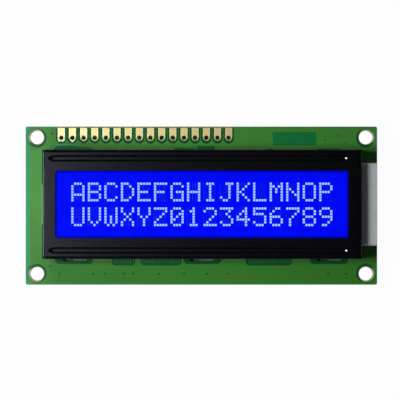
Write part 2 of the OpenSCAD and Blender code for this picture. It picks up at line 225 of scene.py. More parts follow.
def mix(tree, factor, first, second):
    """Blend of two colours; each is a tuple or a socket."""
    first, second = (rgba(c) if isinstance(c, tuple) else c for c in (first, second))
    inputs = {"Factor": factor, MIX_A: first, MIX_B: second}
    return node(tree, "Mix", inputs, data_type="RGBA").outputs[MIX_RESULT]


def layered(tree, colour, *layers):
    """Lays colours over a base in turn; each layer is its share and its colour."""
    for share, layer in layers:
        colour = mix(tree, share, colour, layer)
    return colour


def bump(tree, height, depth):
    inputs = {"Height": height, "Strength": 1.0, "Distance": depth * MM}
    return node(tree, "Bump", inputs).outputs[0]


def blank_tree(owner):
    """The emptied node tree of a material or a world."""
    owner.use_nodes = True
    owner.node_tree.nodes.clear()
    return owner.node_tree


def material(name, paint, uniform):
    """A Principled material: fixed sockets, and linked ones that paint(tree, coords) returns."""
    made = bpy.data.materials.new(name)
    tree = blank_tree(made)
    shader = node(tree, "BsdfPrincipled", {**uniform, **paint(tree, mm_coords(tree))})
    node(tree, "OutputMaterial", {0: shader.outputs[0]})
    return made


# ---- paint functions: the sockets that change over a surface ----

def mottled(low, high, scale, rough=(0.4, 0.5), depth=0.004, grain=6.0):
    """Paint function of a plain surface: two close colours, uneven gloss and a fine bump."""
    def paint(tree, coords):
        patches = noise_of(tree, coords, scale)
        fine = noise_of(tree, coords, grain, detail=2.0)
        return {
            "Base Color": mix(tree, ramp(tree, patches, NOISE_SPAN), low, high),
            "Roughness": ramp(tree, fine, NOISE_SPAN, to=rough),
            "Normal": bump(tree, fine, depth),
        }
    return paint


WEAVE_PITCH = 0.9


def weave(tree, coords):
    """Height of a plain glass weave: two crossing sets of rounded threads, from -1 to 1."""
    waves = [
        math_node(tree, "SINE", times(tree, place, math.tau / WEAVE_PITCH))
        for place in axes(tree, coords)[:2]
    ]
    return times(tree, *waves)


# Bands of the mask over laminate: distances in from the board's sides and from its long edges
# The side and long-edge bands are painted light, as if light shone in through the laminate's edges
SIDE_GLOW, EDGE_GLOW, HEADER_RIM = (1.6, 0.9), (0.3, 0.2), (0.32, 0.25)
HEADER_RIM_ENDS = (1.6, 1.0)  # beyond the first and the last header hole
# Y where the board grows lighter above the bezel, and where the darker ground of the pads starts
OVER_BEZEL_Y, PAD_GROUND_Y = (11.0, 12.4), (13.9, 14.3)
LIGHTER_X, LIGHTER_Y = (9.0, 14.0), (13.3, 14.2)  # where the laminate is lighter, right of the header
# Radii round a mounting hole, beyond its wall, and how a look fades towards the board's corner
HOLE_RING, HOLE_LIP, TOWARDS_CORNER = (0.9, 0.6), (0.16, 0.08), (1.2, -0.6)
FACE_NOT_WALL = (0.45, 0.55)  # how much the surface faces up or down


def paint_bare_board(tree, coords):
    """Mask over bare laminate: dark inside, brighter near the edges with painted light, and tan on
    cut walls.
    """
    x, y, _ = axes(tree, coords)
    across, along = away(tree, x), away(tree, y)
    from_side = math_node(tree, "SUBTRACT", BOARD_HIGH.x, across)
    from_edge = math_node(tree, "SUBTRACT", BOARD_HIGH.y, along)
    patches = ramp(tree, noise_of(tree, coords, scale=0.35), NOISE_SPAN)
    threads = weave(tree, coords)
    fine = noise_of(tree, coords, scale=5.0)
    over_bezel = times(tree, ease(tree, y, OVER_BEZEL_Y), ease(tree, y, PAD_GROUND_Y[::-1]))
    # Lighter towards the upper right, right of the header
    clear = times(tree, ease(tree, y, LIGHTER_Y), ease(tree, x, LIGHTER_X))
    over_header = times(
        tree, ease(tree, from_edge, HEADER_RIM), ramp(tree, y, UPPER_HALF),
        ramp(tree, x, [HEADER[0] - beyond for beyond in HEADER_RIM_ENDS]),
        ramp(tree, x, [HEADER[-1] + beyond for beyond in HEADER_RIM_ENDS]),
    )
    offsets = [math_node(tree, "SUBTRACT", off, at) for off, at in zip((across, along), MOUNT_HOLE)]
    from_hole = length_of(tree, offsets)
    inward = ease(tree, math_node(tree, "ADD", *offsets), TOWARDS_CORNER, to=(0.25, 1.0))
    ring = times(tree, ramp(tree, from_hole, [MOUNT_HOLE_R + out for out in HOLE_RING]), inward)
    lip = times(
        tree, ramp(tree, from_hole, [MOUNT_HOLE_R + out for out in HOLE_LIP]),
        ramp(tree, inward, (1.0, 0.4), to=(0.15, 1.0)),
    )
    glass = mix(tree, noise_of(tree, coords, scale=3.0), (0.5, 0.42, 0.2), (0.7, 0.62, 0.36))
    flat = ramp(tree, away(tree, facing(tree)[2]), FACE_NOT_WALL)
    mask = layered(
        tree, mix(tree, patches, (0.004, 0.082, 0.02), (0.008, 0.1, 0.03)),
        (over_bezel, (0.01, 0.14, 0.045)),
        (ease(tree, y, PAD_GROUND_Y), (0.009, 0.074, 0.016)),
        (clear, (0.008, 0.2, 0.05)),
        # Painted light: the laminate is lighter near its sides and long edges
        (ease(tree, from_side, SIDE_GLOW), (0.045, 0.34, 0.14)),
        (ease(tree, from_edge, EDGE_GLOW), (0.03, 0.28, 0.11)),
        (over_header, (0.24, 0.24, 0.12)),
        (ramp(tree, threads, (-1.0, 1.0), to=(0.0, 0.1)), (0.02, 0.26, 0.09)),
        (ring, (0.01, 0.1, 0.035)),
        (lip, glass),
    )
    return {
        "Base Color": mix(tree, flat, glass, mask),
        "Roughness": ramp(tree, flat, (0.0, 1.0), to=(0.75, 0.3)),
        "Normal": bump(tree, math_node(tree, "ADD", threads, fine), 0.002),
    }


STREAK_SCALE = (0.12, 1.1, 1.0)  # drawn out along the board
# Where painted shade darkens the mask over copper: above the bezel beside the header, and below the
# bezel
BY_HEADER_Y, BY_HEADER_X, BY_HEADER_FADE = (12.0, 13.0), (-36.5, -31.5), (-30.0, -10.0)
BELOW_BEZEL_Y, BELOW_BEZEL_X, BELOW_BEZEL_FADE = (-12.0, -13.0), (-37.0, -33.0), (-30.0, 0.0)
# The painted light line along the bezel's long walls: distances out from a wall and from its ends
LIT_LINE, LIT_LINE_ENDS = (0.58, 0.4), (0.0, -3.0)
# The left wall's opening: half its length, and the painted light and painted shade steps out from
# the wall
OPENING_HALF, LIT_BAND_STEP, SHADED_STEP = (5.2, 5.0), (-0.6, -0.4), (-0.18, -0.02)


def paint_masked_copper(tree, coords):
    """Mask over copper: yellower and lighter than over laminate, with faint drawn-out streaks."""
    x, y, _ = axes(tree, coords)
    off_x, off_y = away(tree, x, CENTRE.x), away(tree, y, CENTRE.y)
    stretched = node(tree, "Mapping", {"Vector": coords, "Scale": STREAK_SCALE}).outputs[0]
    streaks = noise_of(tree, stretched, scale=1.0, detail=4.0, roughness=0.6)
    fine = noise_of(tree, coords, scale=7.0, detail=2.0)
    # Painted shade: darkest at the left end beside the header, and darker at the left below the
    # bezel
    by_header = times(tree, ease(tree, y, BY_HEADER_Y), ease(tree, x, BY_HEADER_X, to=(0.4, 1.0)))
    header_green = mix(
        tree, ramp(tree, x, BY_HEADER_FADE), (0.036, 0.2, 0.033), (0.056, 0.285, 0.042)
    )
    below_bezel = times(tree, ease(tree, y, BELOW_BEZEL_Y), ease(tree, x, BELOW_BEZEL_X))
    foot_green = mix(
        tree, ramp(tree, x, BELOW_BEZEL_FADE), (0.028, 0.205, 0.026), (0.04, 0.232, 0.028)
    )
    # A painted light line on the board along the bezel's long walls
    dull = times(
        tree, ease(tree, off_y, [BEZEL_HALF[1] + out for out in LIT_LINE], to=(0.0, 0.75)),
        ease(tree, off_x, [BEZEL_HALF[0] + out for out in LIT_LINE_ENDS]),
    )
    # In the left wall's opening the mask gets a band of painted light, then painted shade beside
    # the bezel's face. This and the painted light line have no end under the bezel, so that both
    # also show on the board's back.
    opening = times(tree, ramp(tree, off_y, OPENING_HALF), ramp(tree, x, LEFT_HALF))
    lit_band, shaded = (
        times(tree, opening, ramp(tree, x, [BEZEL_LOW.x + out for out in step]))
        for step in (LIT_BAND_STEP, SHADED_STEP)
    )
    cloudy = ramp(tree, noise_of(tree, coords, scale=0.16, detail=2.0), (0.35, 0.65))
    green = layered(
        tree, mix(tree, cloudy, (0.042, 0.25, 0.026), (0.06, 0.265, 0.034)),
        # Painted light: the mask grows lighter from the bezel's lower edge up to its upper one, and
        # stays so above
        (ease(tree, y, (BEZEL_LOW.y, BEZEL_HIGH.y)), (0.06, 0.305, 0.045)),
        (by_header, header_green),
        (below_bezel, foot_green),
        (ramp(tree, streaks, (0.45, 0.75), to=(0.0, 0.55)), (0.085, 0.2, 0.022)),
        (dull, (0.14, 0.23, 0.12)),
        (lit_band, (0.13, 0.26, 0.14)),
        (shaded, (0.01, 0.03, 0.02)),
    )
    return {
        "Base Color": green,
        "Roughness": ramp(tree, fine, NOISE_SPAN, to=(0.26, 0.33)),
        "Normal": bump(tree, fine, 0.003),
    }


def paint_track_mask(tree, coords):
    """Mask over a narrow track: darker on the contacts' tracks below the bezel, paler above it, a
    painted highlight.
    """
    cloudy = noise_of(tree, coords, scale=2.0)
    below = mix(tree, cloudy, (0.022, 0.16, 0.06), (0.04, 0.2, 0.085))
    # The paler colour above the bezel is a painted highlight on the track
    above = mix(tree, cloudy, (0.05, 0.27, 0.11), (0.08, 0.33, 0.15))
    return {
        "Base Color": mix(tree, ramp(tree, axes(tree, coords)[1], UPPER_HALF), below, above),
        "Roughness": ramp(tree, cloudy, NOISE_SPAN, to=(0.28, 0.36)),
        "Normal": bump(tree, cloudy, 0.003),
    }


# The band of painted shade that darkens the film towards the window's edges
WINDOW_FADE = (-0.3, 0.75)  # inwards from the window's edge


def paint_display(tree, coords):
    """Blue light from behind the film, with painted shade that darkens it towards the window's
    edges.
    """
    inside = [
        math_node(tree, "SUBTRACT", half, away(tree, place, middle))
        for place, middle, half in zip(axes(tree, coords), CENTRE, WINDOW_HALF)
    ]
    lit = ease(tree, math_node(tree, "MINIMUM", *inside), WINDOW_FADE)
    cloudy = ramp(tree, noise_of(tree, coords, scale=0.25, detail=2.0), NOISE_SPAN)
    blue = mix(tree, cloudy, (0.0, 0.001, 0.9), (0.0, 0.0025, 1.0))
    return {
        "Base Color": mix(tree, lit, (0.0, 0.0, 0.01), (0.0, 0.002, 0.08)),
        "Emission Color": mix(tree, lit, (0.0, 0.0, 0.04), blue),
        "Normal": bump(tree, noise_of(tree, coords, scale=12.0), 0.0006),
    }


def paint_dots(tree, coords):
    """Lit dots: pale cyan, whiter towards the lamps at the right."""
    right = ramp(tree, axes(tree, coords)[0], (-WINDOW_HALF[0], WINDOW_HALF[0]))
    cloudy = noise_of(tree, coords, scale=1.6)
    tint = mix(tree, right, (0.29, 0.52, 1.0), (0.38, 0.59, 1.0))
    deeper = ramp(tree, cloudy, (0.2, 0.8), to=(0.0, 0.4))
    return {
        "Base Color": mix(tree, cloudy, (0.07, 0.11, 0.3), (0.1, 0.14, 0.34)),
        "Emission Color": mix(tree, deeper, tint, (0.24, 0.5, 1.0)),
    }


def paint_unlit_dots(tree, coords):
    """Dots that are off show as slightly deeper blue cells."""
    cloudy = noise_of(tree, coords, scale=1.2)
    return {
        "Base Color": mix(tree, cloudy, (0.0, 0.002, 0.06), (0.0, 0.002, 0.08)),
        "Emission Color": mix(tree, cloudy, (0.0, 0.002, 0.76), (0.0, 0.003, 0.86)),
    }


PAD_RIM = (-0.15, -0.4)  # out from a pad's side
PAD_WARM_Y = (-0.2, 0.7)  # up from the middle of its hole


def paint_gold(tree, coords):
    """Thin gold: warm in the middle of each pad, and paler round it and its hole."""
    x, y, _ = axes(tree, coords)
    turns = math_node(tree, "DIVIDE", math_node(tree, "SUBTRACT", x, HEADER[0]), HEADER_PITCH)
    from_pad = times(tree, away(tree, turns, math_node(tree, "ROUND", turns)), HEADER_PITCH)
    upper = ease(tree, y, [HOLE_Y + up for up in PAD_WARM_Y])
    warm = times(tree, ease(tree, from_pad, [PAD_W / 2 + out for out in PAD_RIM]), upper)
    right = ramp(tree, x, (HEADER[0], HEADER[-1]))
    patches = ramp(tree, noise_of(tree, coords, scale=0.9), (0.35, 0.7), to=(0.0, 0.4))
    core = mix(tree, right, (0.71, 0.65, 0.31), (0.77, 0.57, 0.23))
    core = mix(tree, patches, core, (0.82, 0.64, 0.31))
    upper_rim = mix(tree, right, (0.68, 0.79, 0.47), (0.64, 0.74, 0.43))
    rim = mix(tree, upper, (0.5, 0.56, 0.34), upper_rim)
    fine = noise_of(tree, coords, scale=9.0)
    return {
        "Base Color": mix(tree, warm, rim, core),
        "Roughness": ramp(tree, fine, NOISE_SPAN, to=(0.42, 0.55)),
        "Normal": bump(tree, fine, 0.004),
    }


BLACK_PAINT = (0.0016, 0.0016, 0.0022), (0.0032, 0.0032, 0.0038)
PALE_LUG_Z = (0.1, -0.4)  # up from the board's front: below it the lugs turn pale grey
# How much the surface faces up, where a wall turns into its fold and the fold into the face
WALL_TO_FOLD, FOLD_TO_FACE, LEFT_FOLD_TO_FACE = (0.12, 0.3), (0.8, 0.7), (0.9995, 0.994)
# How much the surface faces up where the painted highlight along the left fold starts and ends
HIGHLIGHT_STARTS, HIGHLIGHT_ENDS = (0.72, 0.8), (0.965, 0.92)
# How much it faces right, and X from the bezel's nearer end, on the left fold and on the slope
# at a groove's right end
LEFT_FOLD_TURN, LEFT_FOLD_X = (-0.015, -0.05), (1.2, 0.9)
GROOVE_END_TURN, GROOVE_END_X = (-0.03, -0.08), (-6.5, -6.0)


def paint_steel(tree, coords):
    """Satin black paint with a fine orange peel and a little dust in the colour."""
    x, _, z = axes(tree, coords)
    rightward, _, upward = facing(tree)
    peel = noise_of(tree, coords, scale=2.6, detail=2.0)
    fine = noise_of(tree, coords, scale=14.0, detail=2.0)
    # Paint is stretched dull on the outside of each fold; along the left one a painted highlight
    # lies in its colour
    turned_up = ease(tree, upward, WALL_TO_FOLD)
    fold = times(tree, turned_up, ease(tree, upward, FOLD_TO_FACE))
    left_fold = times(
        tree, ramp(tree, rightward, LEFT_FOLD_TURN),
        ramp(tree, x, [BEZEL_LOW.x + off for off in LEFT_FOLD_X]),
    )
    left_dull = times(
        tree, left_fold, ease(tree, upward, LEFT_FOLD_TO_FACE), ramp(tree, upward, WALL_TO_FOLD)
    )
    groove_end = times(
        tree, ramp(tree, rightward, GROOVE_END_TURN),
        ramp(tree, x, [BEZEL_HIGH.x + off for off in GROOVE_END_X]),
    )
    dull = math_node(tree, "MAXIMUM", math_node(tree, "MAXIMUM", fold, left_dull), groove_end)
    # A painted highlight along the left fold, in the paint's colour
    left_fold_highlight = times(tree, left_fold, ease(tree, upward, HIGHLIGHT_STARTS), ease(tree, upward, HIGHLIGHT_ENDS))
    # Below the board's front the lugs turn pale grey
    pale_lug = ramp(tree, z, [FRONT_Z + up for up in PALE_LUG_Z], to=(0.0, 0.8))
    return {
        "Base Color": layered(
            tree, mix(tree, ramp(tree, fine, (0.4, 0.75)), *BLACK_PAINT),
            (left_fold_highlight, (0.13, 0.22, 0.18)), (pale_lug, (0.42, 0.48, 0.52)),
        ),
        "Roughness": ramp(tree, peel, NOISE_SPAN, to=(0.215, 0.265)),
        "Specular IOR Level": ramp(tree, dull, (0.0, 1.0), to=(0.42, 0.012)),
        "Normal": bump(tree, math_node(tree, "ADD", peel, times(tree, fine, 0.35)), 0.004),
    }


# ---- materials ----

MASK_GLOSS = {"Specular IOR Level": 0.18}
MATERIALS = {  # each one's paint function, and the sockets that are the same all over it
    "bare_board": (paint_bare_board, {"Specular IOR Level": 0.1}),
    "masked_copper": (paint_masked_copper, MASK_GLOSS),
    "pale_mask": (paint_track_mask, MASK_GLOSS),
    "gold": (paint_gold, {"Metallic": 0.75}),
    "black_paint": (paint_steel, {"Specular Tint": rgba((0.76, 0.83, 1.0))}),
    "pooled_paint": (
        mottled(*BLACK_PAINT, 3.0, (0.12, 0.16), depth=0.0005), {"Specular IOR Level": 0.8},
    ),
    "display_film": (
        paint_display, {"Emission Strength": 0.91, "Specular IOR Level": 0.1, "Roughness": 0.14},
    ),
    "lit_dots": (
        paint_dots, {"Emission Strength": 1.0, "Specular IOR Level": 0.1, "Roughness": 0.4},
    ),
    "unlit_dots": (
        paint_unlit_dots, {"Emission Strength": 0.93, "Specular IOR Level": 0.1, "Roughness": 0.2},
    ),
    "cell_glass": (
        mottled((0.8, 0.9, 0.86), (0.86, 0.94, 0.91), 0.5, (0.03, 0.06), depth=0.0005),
        {"Transmission Weight": 0.9, "IOR": 1.5},
    ),
    "clear_acrylic": (
        mottled((0.9, 0.94, 0.97), (0.95, 0.97, 1.0), 0.5, (0.04, 0.08), depth=0.0005),
        {"Transmission Weight": 0.9, "IOR": 1.49},
    ),
    "tray_plastic": (
        mottled((0.56, 0.59, 0.6), (0.62, 0.65, 0.66), 0.7, (0.42, 0.52), depth=0.003),
        {"Subsurface Weight": 0.15, "Subsurface Scale": 0.6 * MM, "Specular IOR Level": 0.4},
    ),
    "white_film": (mottled((0.8, 0.8, 0.8), (0.9, 0.9, 0.9), 1.0), {}),
    "grey_film": (mottled((0.16, 0.18, 0.2), (0.2, 0.22, 0.25), 1.0, (0.2, 0.3)), {}),
    "strip_rubber": (
        mottled((0.24, 0.24, 0.26), (0.32, 0.32, 0.34), 2.5, (0.7, 0.85), depth=0.01), {},
    ),
    "seal_resin": (mottled((0.62, 0.55, 0.38), (0.75, 0.68, 0.5), 1.5, (0.25, 0.4)), {}),
    "lamp_resin": (mottled((0.8, 0.74, 0.25), (0.9, 0.86, 0.4), 2.0, (0.2, 0.3)), {}),
    "bright_tin": (
        mottled((0.66, 0.66, 0.67), (0.78, 0.78, 0.79), 3.0, (0.25, 0.38)), {"Metallic": 1.0},
    ),
    "solder": (
        mottled((0.62, 0.62, 0.64), (0.74, 0.74, 0.75), 1.5, (0.18, 0.32), 0.006, grain=2.5),
        {"Metallic": 1.0},
    ),
    "black_resin": (
        mottled((0.012, 0.012, 0.013), (0.018, 0.018, 0.02), 0.5, (0.14, 0.24), 0.01, grain=1.2),
        {},
    ),
    "silicon": (mottled((0.2, 0.21, 0.24), (0.28, 0.3, 0.34), 2.0, (0.1, 0.2)), {}),
    "resistor_glaze": (
        mottled((0.012, 0.012, 0.015), (0.025, 0.025, 0.03), 2.0, (0.2, 0.34)), {},
    ),
    "fired_ceramic": (
        mottled((0.4, 0.26, 0.14), (0.5, 0.34, 0.2), 2.0, (0.38, 0.55), depth=0.008), {},
    ),
}
FINISHES = {  # the CAD nodes that each material covers
    "bare_board": ["circuit_board"],
    "masked_copper": ["lamp_board"],
    "gold": ["header_pads", "contact_fingers"],
    "black_paint": ["bezel"],
    "display_film": ["front_polarizer"],
    "cell_glass": ["front_glass", "rear_glass"],
    "clear_acrylic": ["light_guide"],
    "tray_plastic": ["backlight_tray"],
    "white_film": ["diffuser_film", "reflector_film"],
    "grey_film": ["rear_polarizer"],
    "strip_rubber": ["upper_contact_strip", "lower_contact_strip"],
    "seal_resin": ["cell_seal", "fill_port_plug"],
    "lamp_resin": ["lamps"],
    "bright_tin": ["backlight_leads", "chip_end_caps"],
    "solder": ["lead_solder", "chip_solder", "chip_pads"],
    "black_resin": ["controller_drop", "driver_drop"],
    "silicon": ["controller_die", "driver_die"],
    "resistor_glaze": ["bias_resistors", "oscillator_resistor", "backlight_resistors"],
    "fired_ceramic": ["capacitors"],
}
MADE = {}


def finish(obj, name):
    """Gives an object this one material, which is made when it is first asked for."""
    if name not in MADE:
        MADE[name] = material(name, *MATERIALS[name])
    obj.data.materials.clear()
    obj.data.materials.append(MADE[name])


# ---- flat outlines ----

def circle_point(x, y, r, turn):
    return (x + r * math.cos(turn), y + r * math.sin(turn))


def rect(x0, y0, x1, y1):
    return [(x0, y0), (x1, y0), (x1, y1), (x0, y1)]


def chamfered(x0, y0, x1, y1, cut):
    """A patch whose lower corners are cut off."""
    return [(x0 + cut, y0), (x1 - cut, y0), (x1, y0 + cut), (x1, y1), (x0, y1), (x0, y0 + cut)]


def disc(x, y, r, sides=24):
    return [circle_point(x, y, r, math.tau * i / sides) for i in range(sides)]


def capsule(p, q, width, sides=6):
    """A straight band from one point to another with half-round ends of so many sides."""
    heading = math.atan2(q[1] - p[1], q[0] - p[0])
    ends = ((q, heading - math.pi / 2), (p, heading + math.pi / 2))
    return [
        circle_point(*end, width / 2, start + math.pi * i / sides)
        for end, start in ends for i in range(sides + 1)
    ]


def slot_shape(x, y, length, width, sides=12):
    """A slot along X with round ends."""
    run = (length - width) / 2
    return capsule((x - run, y), (x + run, y), width, sides)


def track(points, width):
    return [capsule(p, q, width) for p, q in zip(points, points[1:])]


def spread(low, high, count):
    return [low + (high - low) * i / (count - 1) for i in range(count)]


# ---- sheets of copper and mask ----

SAME_OUTLINE_POINT = 1e-5


def tagged_triangles(groups):
    """Triangulates overlapping outlines: (points, [(triangle, names of the groups over it)])."""
    points, faces, owner = [], [], []
    for name, outlines in groups.items():
        for outline in outlines:
            first = len(points)
            points += [Vector(p) for p in outline]
            faces.append(list(range(first, len(points))))
            owner.append(name)
    verts, _, triangles, _, _, origins = delaunay_2d_cdt(points, [], faces, 1, SAME_OUTLINE_POINT)
    return verts, [(t, {owner[i] for i in origin}) for t, origin in zip(triangles, origins)]


def into_scene(name, data):
    obj = bpy.data.objects.new(name, data)
    bpy.context.scene.collection.objects.link(obj)
    return obj


def object_of(name, mesh):
    """Makes an object of a bmesh, which is then freed."""
    data = bpy.data.meshes.new(name)
    mesh.to_mesh(data)
    mesh.free()
    return into_scene(name, data)


def add_mesh(name, mesh, finish_name):
    """Makes a piece of a bmesh, gives it its finish and lets it ride on the module."""
    obj = object_of(name, mesh)
    finish(obj, finish_name)
    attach(obj, "root")
    return obj


def masked_copper(
    name, face_z, side, fields, gaps, tracks, finish_name="masked_copper", thick=COPPER_T
):
    """Fields less their gaps, plus tracks, as one thin sheet on a face of the board."""
    verts, triangles = tagged_triangles({"field": fields, "gap": gaps, "track": tracks})
    kept = [t for t, over in triangles if "track" in over or over == {"field"}]
    sheet = bmesh.new()
    low_z, high_z = face_z * MM, (face_z + side * thick) * MM
    top = {}
    for triangle in kept:
        for i in triangle:
            if i not in top:
                top[i] = sheet.verts.new((verts[i].x * MM, verts[i].y * MM, high_z))
        sheet.faces.new([top[i] for i in (triangle if side > 0 else reversed(triangle))])
    rim = [edge for edge in sheet.edges if len(edge.link_faces) == 1]
    for part in bmesh.ops.extrude_edge_only(sheet, edges=rim)["geom"]:
        if isinstance(part, bmesh.types.BMVert):
            part.co.z = low_z
    bmesh.ops.recalc_face_normals(sheet, faces=sheet.faces)
    add_mesh(name, sheet, finish_name)


LUG_X = (-29.0, 0.0, 29.0)
SLOT_Y = (BEZEL_HIGH.y - BEZEL_LOW.y - SHEET_T) / 2
SLOT_L, SLOT_W, SLOT_GAP = 5.7, 1.3, 0.3
HOLE_GAP, HOLE_GAP_SHIFT = 0.45, 0.12  # round a mounting hole, set a little towards the middle
SIDE_EDGE, EDGE = 1.0, 0.22  # bare board at the left side and at the other three


def shared_gaps():
    """Gaps that both faces need: round the mounting holes, the slots and the header pads."""
    hole_x, hole_y = (place - HOLE_GAP_SHIFT for place in MOUNT_HOLE)
    gaps = [
        disc(sx * hole_x, sy * hole_y, MOUNT_HOLE_R + HOLE_GAP, sides=40)
        for sx in (-1, 1) for sy in (-1, 1)
    ]
    gaps += [
        slot_shape(x, sy * SLOT_Y, SLOT_L + 2 * SLOT_GAP, SLOT_W + 2 * SLOT_GAP)
        for x in LUG_X for sy in (-1, 1)
    ]
    half, foot = PAD_W / 2 + PAD_GAP, PADS_LOW.y + PAD_W / 2
    for x in HEADER:
        gaps += [disc(x, foot, half, sides=32), rect(x - half, foot, x + half, BOARD_HIGH.y + 1)]
    return gaps


def pour_outline():
    """The field of copper that covers a face of the board."""
    return rect(
        BOARD_LOW.x + SIDE_EDGE, BOARD_LOW.y + EDGE, BOARD_HIGH.x - EDGE, BOARD_HIGH.y - EDGE
    )


VIA_R = 0.24
VIA_ROW_Y = -15.5
FRONT_VIAS = [
    (x, VIA_ROW_Y) for x in (-32.3, -24.7, -22.0, -17.6, -15.5, -9.6, -3.9, 1.2, 6.0, 28.9, 32.9)
] + [(-34.4, -13.8), (-34.0, 16.4), (28.2, 15.0), (31.0, 16.1), (32.9, 14.2)]
UNDER_BEZEL = 1.5  # how far gaps and tracks run on under the bezel's long sides
LUG_PATCHES = [(-33.3, -24.7), (-4.0, 4.5), (24.7, 33.4)]  # X of bare patches below the bezel
LUG_PATCH_FOOT, LUG_PATCH_CUT = -13.3, 0.6
FINGER_PATCHES = [(-20.4, -15.1), (-13.8, -4.6), (10.1, 20.6)]  # the same, with contacts' tracks
FINGER_PATCH_FOOT, FINGER_PATCH_CUT = -13.62, 0.5
FINGER_TRACK_END, FINGER_TRACK_W, FINGER_TRACK_INSET = -13.0, 0.25, 0.4
LABEL_FIELD = (16.2, 13.7, 26.2, 16.75)
TRACE_W, TRACE_GAP_W = 0.24, 0.3


def front_copper():
    """The front's copper, with bare patches below and above the bezel, and its paler tracks."""
    foot, top = BEZEL_LOW.y + UNDER_BEZEL, BEZEL_HIGH.y - UNDER_BEZEL
    gaps = shared_gaps() + [disc(x, y, VIA_R, sides=16) for x, y in FRONT_VIAS]
    gaps += [chamfered(x0, LUG_PATCH_FOOT, x1, foot, LUG_PATCH_CUT) for x0, x1 in LUG_PATCHES]
    gaps += [
        chamfered(x0, FINGER_PATCH_FOOT, x1, foot, FINGER_PATCH_CUT) for x0, x1 in FINGER_PATCHES
    ]
    gaps.append(rect(*LABEL_FIELD))
    # Above the bezel the copper steps back from it in places
    gaps += [
        [(-34.4, top), (-24.0, top), (-24.4, 12.9), (-26.0, 13.35), (-28.6, 13.45), (-29.6, 13.8),
         (-33.0, 13.8), (-34.4, 12.4)],
        [(-6.5, top), (-1.8, top), (-1.8, 13.0), (-6.0, 13.2)],
        [(-1.6, top), (3.6, top), (2.9, 13.6), (-0.9, 13.6)],
        rect(14.9, top, 16.2, 12.95),
    ]
    tracks = []
    inset = FINGER_TRACK_INSET
    for low, high in islands("contact_fingers"):
        x = (low.x + high.x) / 2
        if low.y < 0 and any(x0 + inset < x < x1 - inset for x0, x1 in FINGER_PATCHES):
            tracks.append(capsule((x, foot), (x, FINGER_TRACK_END), FINGER_TRACK_W))
    # The second pad's track runs down and left, and along the edge of the gap
    trace = [
        (HEADER[1], PADS_LOW.y + 0.2), (HEADER[1], PADS_LOW.y - 0.25), (-29.9, 13.85),
        (-32.9, 13.85), (-34.3, 12.45),
    ]
    tracks += track(trace, TRACE_W)
    gaps += track(trace, TRACE_GAP_W)
    masked_copper("masked_copper_front", FRONT_Z, 1, [pour_outline()], gaps, [])
    masked_copper("front_tracks", FRONT_Z, 1, [], [], tracks, "pale_mask")


MASK_LAP, MASK_FOOT_LAP = 0.1, 0.27  # over a pad's sides and over its lower end
SQUARE_FOOT_LAP, SQUARE_CUT = 0.216, 0.25  # on the first pad, which is square
MASK_OVER_PAD = 0.008
MASK_CLEAR = 0.02  # from the lapping mask to the copper round the pad


def pad_mask():
    """The mask laps over the rim of each header pad, except at the board's edge."""
    fields, gaps = [], []
    outer, inner = PAD_W / 2 + PAD_GAP - MASK_CLEAR, PAD_W / 2 - MASK_LAP
    foot, pad_foot = PADS_LOW.y + PAD_W / 2, PADS_LOW.y
    open_foot = foot + MASK_FOOT_LAP
    top = BOARD_HIGH.y - PAD_GAP
    for place, x in enumerate(HEADER):
        fields += [disc(x, foot, outer, sides=32), rect(x - outer, foot, x + outer, top)]
        gaps.append(rect(x - inner, open_foot, x + inner, BOARD_HIGH.y))
        if place == 0:
            cut_foot = pad_foot + SQUARE_FOOT_LAP
            gaps.append(chamfered(x - inner, cut_foot, x + inner, open_foot, SQUARE_CUT))
        else:
            gaps.append(disc(x, open_foot, inner, sides=32))
        if place == 1:  # the second has a track at its foot
            gaps.append([(x - 0.6, foot - 0.4), (x, pad_foot - 0.02), (x + 0.6, foot - 0.4)])
    thick = PADS_HIGH.z - FRONT_Z + MASK_OVER_PAD
    masked_copper("pad_mask", FRONT_Z, 1, fields, gaps, [], "bare_board", thick)


FAN_START, FAN_BEND = -0.3, 0.5  # out from a resin drop's rim
FAN_RUN = 0.9  # straight end of each line of a fan, at its via
LOWER_VIA_Y, UPPER_VIA_Y = -9.7, 9.3
BACK_VIA_R, BACK_VIA_GAP_R = 0.36, 0.6
TRACK_W, TRACK_GAP_W = 0.28, 0.72
POWER_W, POWER_GAP_W = 0.75, 1.25
LEAD_X, LEAD_Y = 38.5, 5.08
LEAD_PAD_R, LEAD_GAP_R = 0.95, 1.15
LIMITER_X, LIMITER_Y = 31.85, 3.0
DROP_LINE_PITCH = 2.6  # between the four lines that join the two drops
PAD_LINE_PITCH, PAD_LINE_Y = 0.95, 11.8  # of the header's lines, where they turn to the drop
BETWEEN_DROPS = (3, 7)  # half the length and width of the field that holds the bias resistors
CHIP_GAP = 0.2


def drop_circle(node_name):
    """Centre and radius of a resin drop."""
    low, high = box_mm(node_name)
    return ((low.x + high.x) / 2, (low.y + high.y) / 2), (high.x - low.x) / 2


def fan(circle, first_turn, last_turn, xs, y_end):
    """Lines from a resin drop's rim to a row of vias, in the same order so that none cross."""
    (x, y), r = circle
    lines = []
    for degrees, x_end in zip(spread(first_turn, last_turn, len(xs)), xs):
        start, bend = (
            circle_point(x, y, r + out, math.radians(degrees)) for out in (FAN_START, FAN_BEND)
        )
        lines.append([start, bend, (x_end, y_end - math.copysign(FAN_RUN, y_end)), (x_end, y_end)])
    return lines


